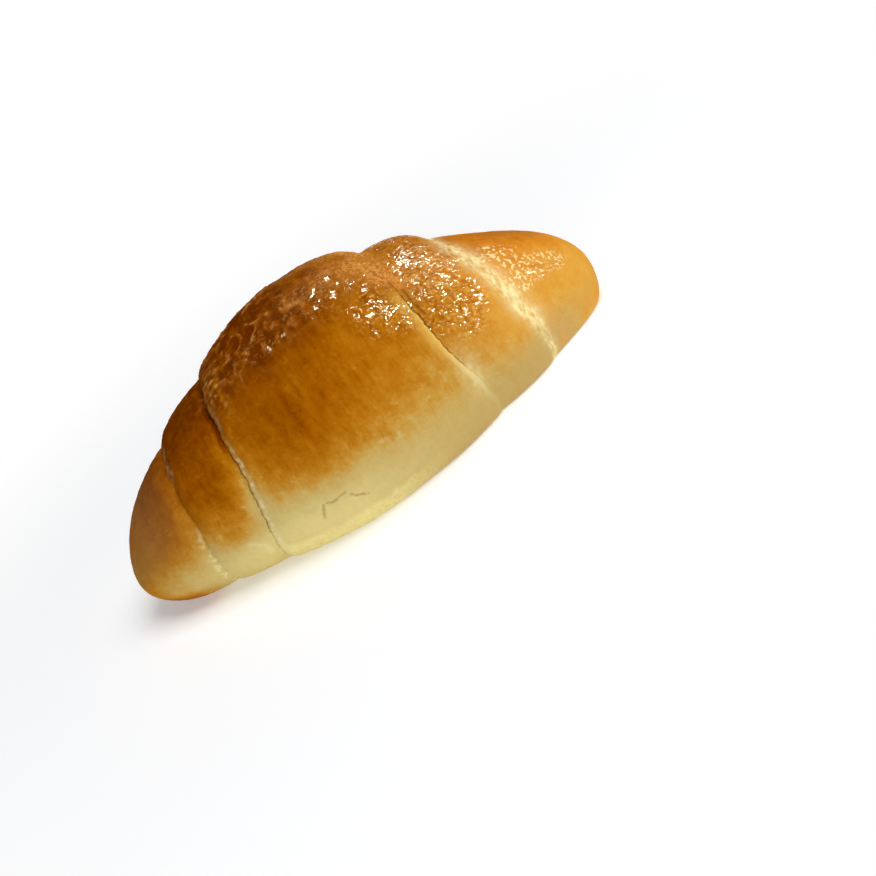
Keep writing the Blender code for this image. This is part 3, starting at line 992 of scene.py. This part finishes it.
# The lamps that spark in the glaze: direction, size and power.
SPARKS = (
    ((0.55, -0.18, 0.81), 0.20, 15.0),
    ((0.32, 0.62, 0.70), 0.19, 11.0),
    ((0.92, -0.30, 0.22), 0.24, 44.0),
    ((-0.15, 0.20, 0.97), 0.16, 20.0),
)


def make_lights():
    add_light("soft_overhead", (0.35, -0.30, 0.88), 0.9, 0.6, 6.4, True)
    add_light("front_fill", (-0.25, -0.95, 0.20), 1.1, 0.9, 2.0, True)
    add_light("back_fill", (0.15, 0.98, 0.08), 1.1, 0.9, 1.3, True)
    for number, (direction, size, power) in enumerate(SPARKS):
        add_light(f"spark_{number}", direction, SPARK_DISTANCE, size, power, False)


def make_world():
    """White behind everything. What lights the roll is bright at the horizon and dark overhead."""
    world = bpy.data.worlds.new("white_room")
    bpy.context.scene.world = world
    world.use_nodes = True
    tree = world.node_tree
    tree.nodes.clear()
    direction = tree.nodes.new("ShaderNodeTexCoord")
    split = tree.nodes.new("ShaderNodeSeparateXYZ")
    tree.links.new(direction.outputs["Generated"], split.inputs[0])
    height = tree.nodes.new("ShaderNodeMapRange")
    height.interpolation_type = "SMOOTHSTEP"
    for name, value in (("From Min", 0.0), ("From Max", 0.6), ("To Min", 0.55), ("To Max", 0.10)):
        height.inputs[name].default_value = value
    tree.links.new(split.outputs["Z"], height.inputs["Value"])
    seen = tree.nodes.new("ShaderNodeBackground")
    seen.inputs["Color"].default_value = (1.0, 1.0, 1.0, 1.0)
    lit = tree.nodes.new("ShaderNodeBackground")
    lit.inputs["Color"].default_value = (1.0, 1.0, 1.0, 1.0)
    tree.links.new(height.outputs[0], lit.inputs["Strength"])
    path = tree.nodes.new("ShaderNodeLightPath")
    mix = tree.nodes.new("ShaderNodeMixShader")
    out = tree.nodes.new("ShaderNodeOutputWorld")
    tree.links.new(path.outputs["Is Camera Ray"], mix.inputs["Fac"])
    tree.links.new(lit.outputs[0], mix.inputs[1])
    tree.links.new(seen.outputs[0], mix.inputs[2])
    tree.links.new(mix.outputs[0], out.inputs["Surface"])
    world.cycles_visibility.glossy = False


# The camera, from the photo's framing of the roll.
PICTURE_SIDE = 876.0
FOCAL_PIXELS = 1709.4
SENSOR_WIDTH = 36.0
CAMERA_DISTANCE = 0.400
CAMERA_ELEVATION = 22.10
CAMERA_SWING = 0.25
CAMERA_ROLL = 36.36
TARGET_PIXEL = (336.6, 382.6)            # where the roll's middle lies in the picture


def make_camera():
    elevation, swing, roll = map(math.radians, (CAMERA_ELEVATION, CAMERA_SWING, CAMERA_ROLL))
    back = Vector((math.sin(swing) * math.cos(elevation), -math.cos(swing) * math.cos(elevation),
                   math.sin(elevation)))
    level = Vector((math.cos(swing), math.sin(swing), 0.0))
    rising = back.cross(level)
    right = math.cos(roll) * level - math.sin(roll) * rising
    up = math.sin(roll) * level + math.cos(roll) * rising
    straight = Matrix((right, up, back)).transposed()
    aside = Vector((TARGET_PIXEL[0] - 0.5 * PICTURE_SIDE, 0.5 * PICTURE_SIDE - TARGET_PIXEL[1],
                    -FOCAL_PIXELS))
    turned = aside.rotation_difference(Vector((0.0, 0.0, -1.0))).to_matrix()
    lens = bpy.data.cameras.new("photo_view")
    lens.sensor_width = SENSOR_WIDTH
    lens.lens = FOCAL_PIXELS / PICTURE_SIDE * SENSOR_WIDTH
    lens.clip_start = 0.01
    lens.clip_end = 50.0
    camera = bpy.data.objects.new("photo_view", lens)
    camera.location = Vector(ROLL_MIDDLE) + back * CAMERA_DISTANCE
    camera.rotation_mode = "QUATERNION"
    camera.rotation_quaternion = (straight @ turned).to_quaternion()
    bpy.context.scene.collection.objects.link(camera)
    bpy.context.scene.camera = camera


make_roll()
make_floor()
make_lights()
make_world()
make_camera()
bpy.context.scene.view_settings.view_transform = "Standard"
